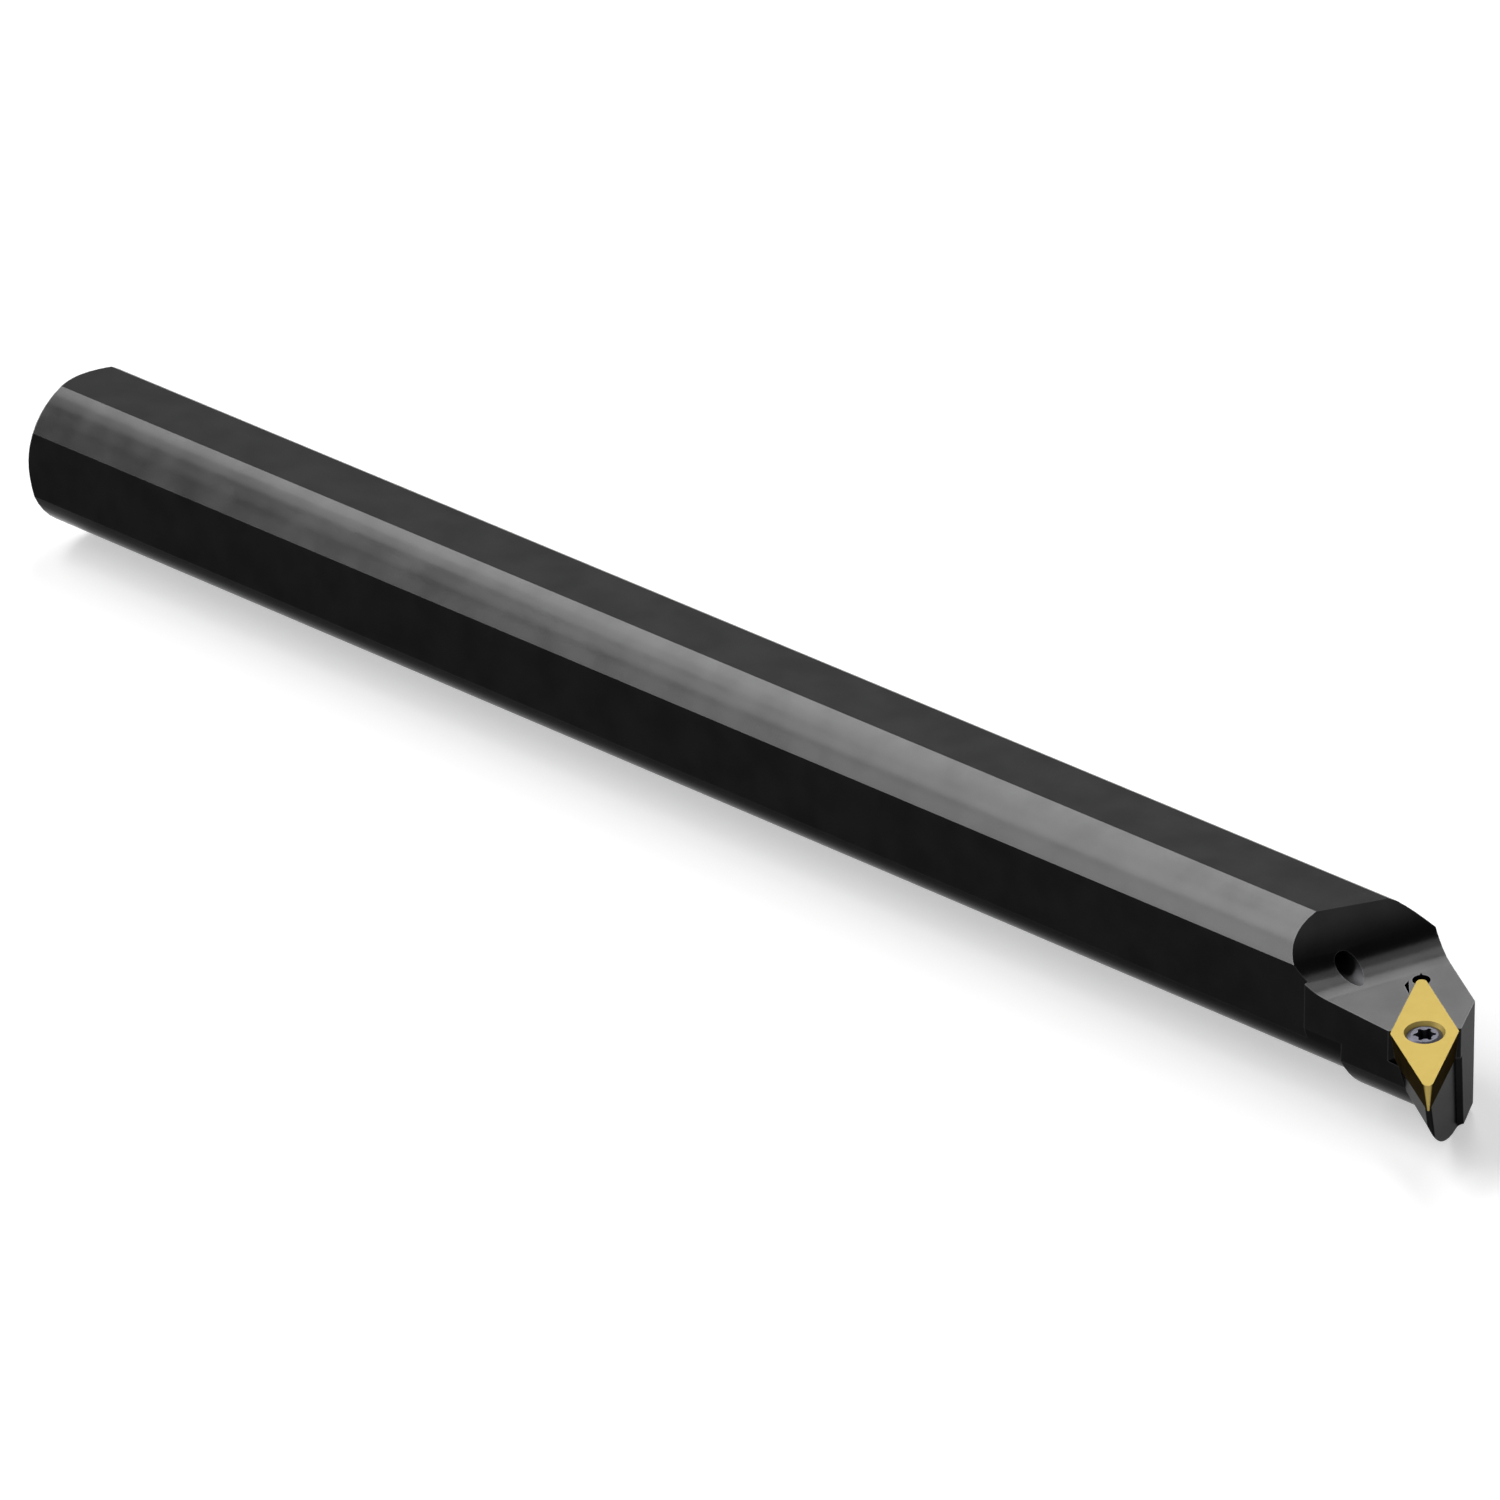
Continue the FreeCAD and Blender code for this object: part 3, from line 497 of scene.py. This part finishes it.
# %% Floor
FLOOR_HALF = 4.0
floor_mesh = bpy.data.meshes.new("studio_floor")
floor_corners = [(x * FLOOR_HALF, y * FLOOR_HALF, cad_low.z)
                 for x, y in ((-1, -1), (1, -1), (1, 1), (-1, 1))]
floor_mesh.from_pydata(floor_corners, [], [(0, 1, 2, 3)])
floor_mesh.materials.append(floor_material)
floor = put_in_scene("studio_floor", floor_mesh)
print("floor lies at", round(cad_low.z / MM, 2), "mm")

# %% [markdown]
# ## Lamps that the faces mirror
#
# Black polished steel shows hardly any colour of its own, only what it mirrors, so each
# lamp is placed by the face that should shine. A mirror sends a ray of sight s off at a
# normal n along 2 (n . s) n - s. From a spot on the bar and the normal there, that gives
# the one direction in which a softbox is seen in the steel.

# %% A softbox for a mirroring face
LENGTHWISE = Vector((1.0, 0.0, 0.0))
LAMP_DISTANCE = 4.0


def soft_lamp(name, spot, normal, size, radiance):
    """A softbox that the face at a spot mirrors to the camera. Its width runs along the bar.

    An area lamp's power is pi times its area times the brightness of its face, which is
    what a mirror would show, so the brightness is given here and the power follows.
    """
    spot, normal = Vector(spot), Vector(normal).normalized()
    sight = (CAMERA_SPOT - spot).normalized()
    away = 2 * normal.dot(sight) * normal - sight
    across = (LENGTHWISE - away * LENGTHWISE.dot(away)).normalized()
    data = bpy.data.lights.new(name, "AREA")
    data.shape = "RECTANGLE"
    data.size, data.size_y = size
    data.energy = np.pi * size[0] * size[1] * radiance
    lamp = put_in_scene(name, data)
    lamp.location = spot + away * LAMP_DISTANCE
    lamp.rotation_mode = "QUATERNION"
    turn = Matrix((across, away.cross(across), away)).transposed()
    lamp.rotation_quaternion = turn.to_quaternion()
    print(name, "has", round(data.energy, 1), "W and stands", round(lamp.location.z, 2), "m up")


print("each softbox stands", LAMP_DISTANCE, "m from the spot that mirrors it")

# %% [markdown]
# ## Where the softboxes stand
#
# The round bands turn their normal evenly from one flat to the next, so they need a row
# of softboxes, edge to edge, that grow narrower downwards: the lower part of the band
# then fades out towards the tail. The level flat, the rake floor round the insert and
# the gullet that rises behind it get softboxes of their own.

# %% Softboxes of the round band and of the flat faces
# Angle of the band's normal from upright in degrees, place along the bar, the softbox's
# width and height in metres, and its brightness.
BAND_SOFTBOXES = (
    ("top_band_softbox", 27.0, 0.19, 1.00, 1.19, 13.0),
    ("upper_band_softbox", 36.5, 0.25, 0.80, 0.86, 12.5),
    ("middle_band_softbox", 46.0, 0.30, 0.65, 1.19, 14.5),
    ("lower_band_softbox", 59.0, 0.29, 0.55, 1.63, 11.5),
)
# Spot, normal, width and height in metres, and brightness.
FACE_SOFTBOXES = (
    ("flat_softbox", (0.15, 0.0, 0.0), (0.0, 0.0, 1.0), (1.0, 0.5), 2.0),
    ("rake_softbox", SEAT_CENTRE, INSERT_UP, (0.84, 0.7), 10.0),
    ("gullet_softbox", SEAT_CENTRE, (0.156, -0.168, 0.973), (0.84, 0.7), 9.2),
    ("far_gullet_softbox", SEAT_CENTRE, (0.277, -0.222, 0.935), (1.09, 0.7), 5.0),
    ("high_gullet_softbox", SEAT_CENTRE, (0.389, -0.261, 0.883), (1.0, 0.7), 2.2),
)
for name, tilt, spot_x, width, height, radiance in BAND_SOFTBOXES:
    normal = (0.0, -np.sin(np.radians(tilt)), np.cos(np.radians(tilt)))
    soft_lamp(name, (spot_x, 0.0, 0.0), normal, (width, height), radiance)
for softbox in FACE_SOFTBOXES:
    soft_lamp(*softbox)

# %% [markdown]
# ## The sky
#
# The sky is white at the horizon and grows darker upwards, which leaves the hollow of
# the gullet black. It is bright to the camera and in reflections, and only dimly lights
# the shadows.

# %% Sky
SKY_DIM, SKY_FULL = 0.1, 1.0
world = bpy.data.worlds.new("white_studio")
world.use_nodes = True
tree = world.node_tree
tree.nodes.clear()
strength = add(tree, "ShaderNodeMapRange", {"To Min": SKY_DIM, "To Max": SKY_FULL},
               Value=shown_or_mirrored(tree))
# For a sky, Object coordinates are the direction looked in, so Z is the sine of its height.
direction = add(tree, "ShaderNodeSeparateXYZ",
                Vector=add(tree, "ShaderNodeTexCoord").outputs["Object"])
dome = add(tree, "ShaderNodeValToRGB", Fac=direction.outputs["Z"],
           stops=((0.0, "#FFFFFF"), (0.42, "#EFEFEF"), (0.64, "#C0C0C0"), (0.87, "#666666"),
                  (1.0, "#5A5A5A")))
sky = add(tree, "ShaderNodeBackground", Color=dome.outputs["Color"],
          Strength=strength.outputs["Result"])
add(tree, "ShaderNodeOutputWorld", Surface=sky.outputs["Background"])
bpy.context.scene.world = world
bpy.context.scene.view_settings.view_transform = "Standard"
print("sky has", len(tree.nodes), "nodes")
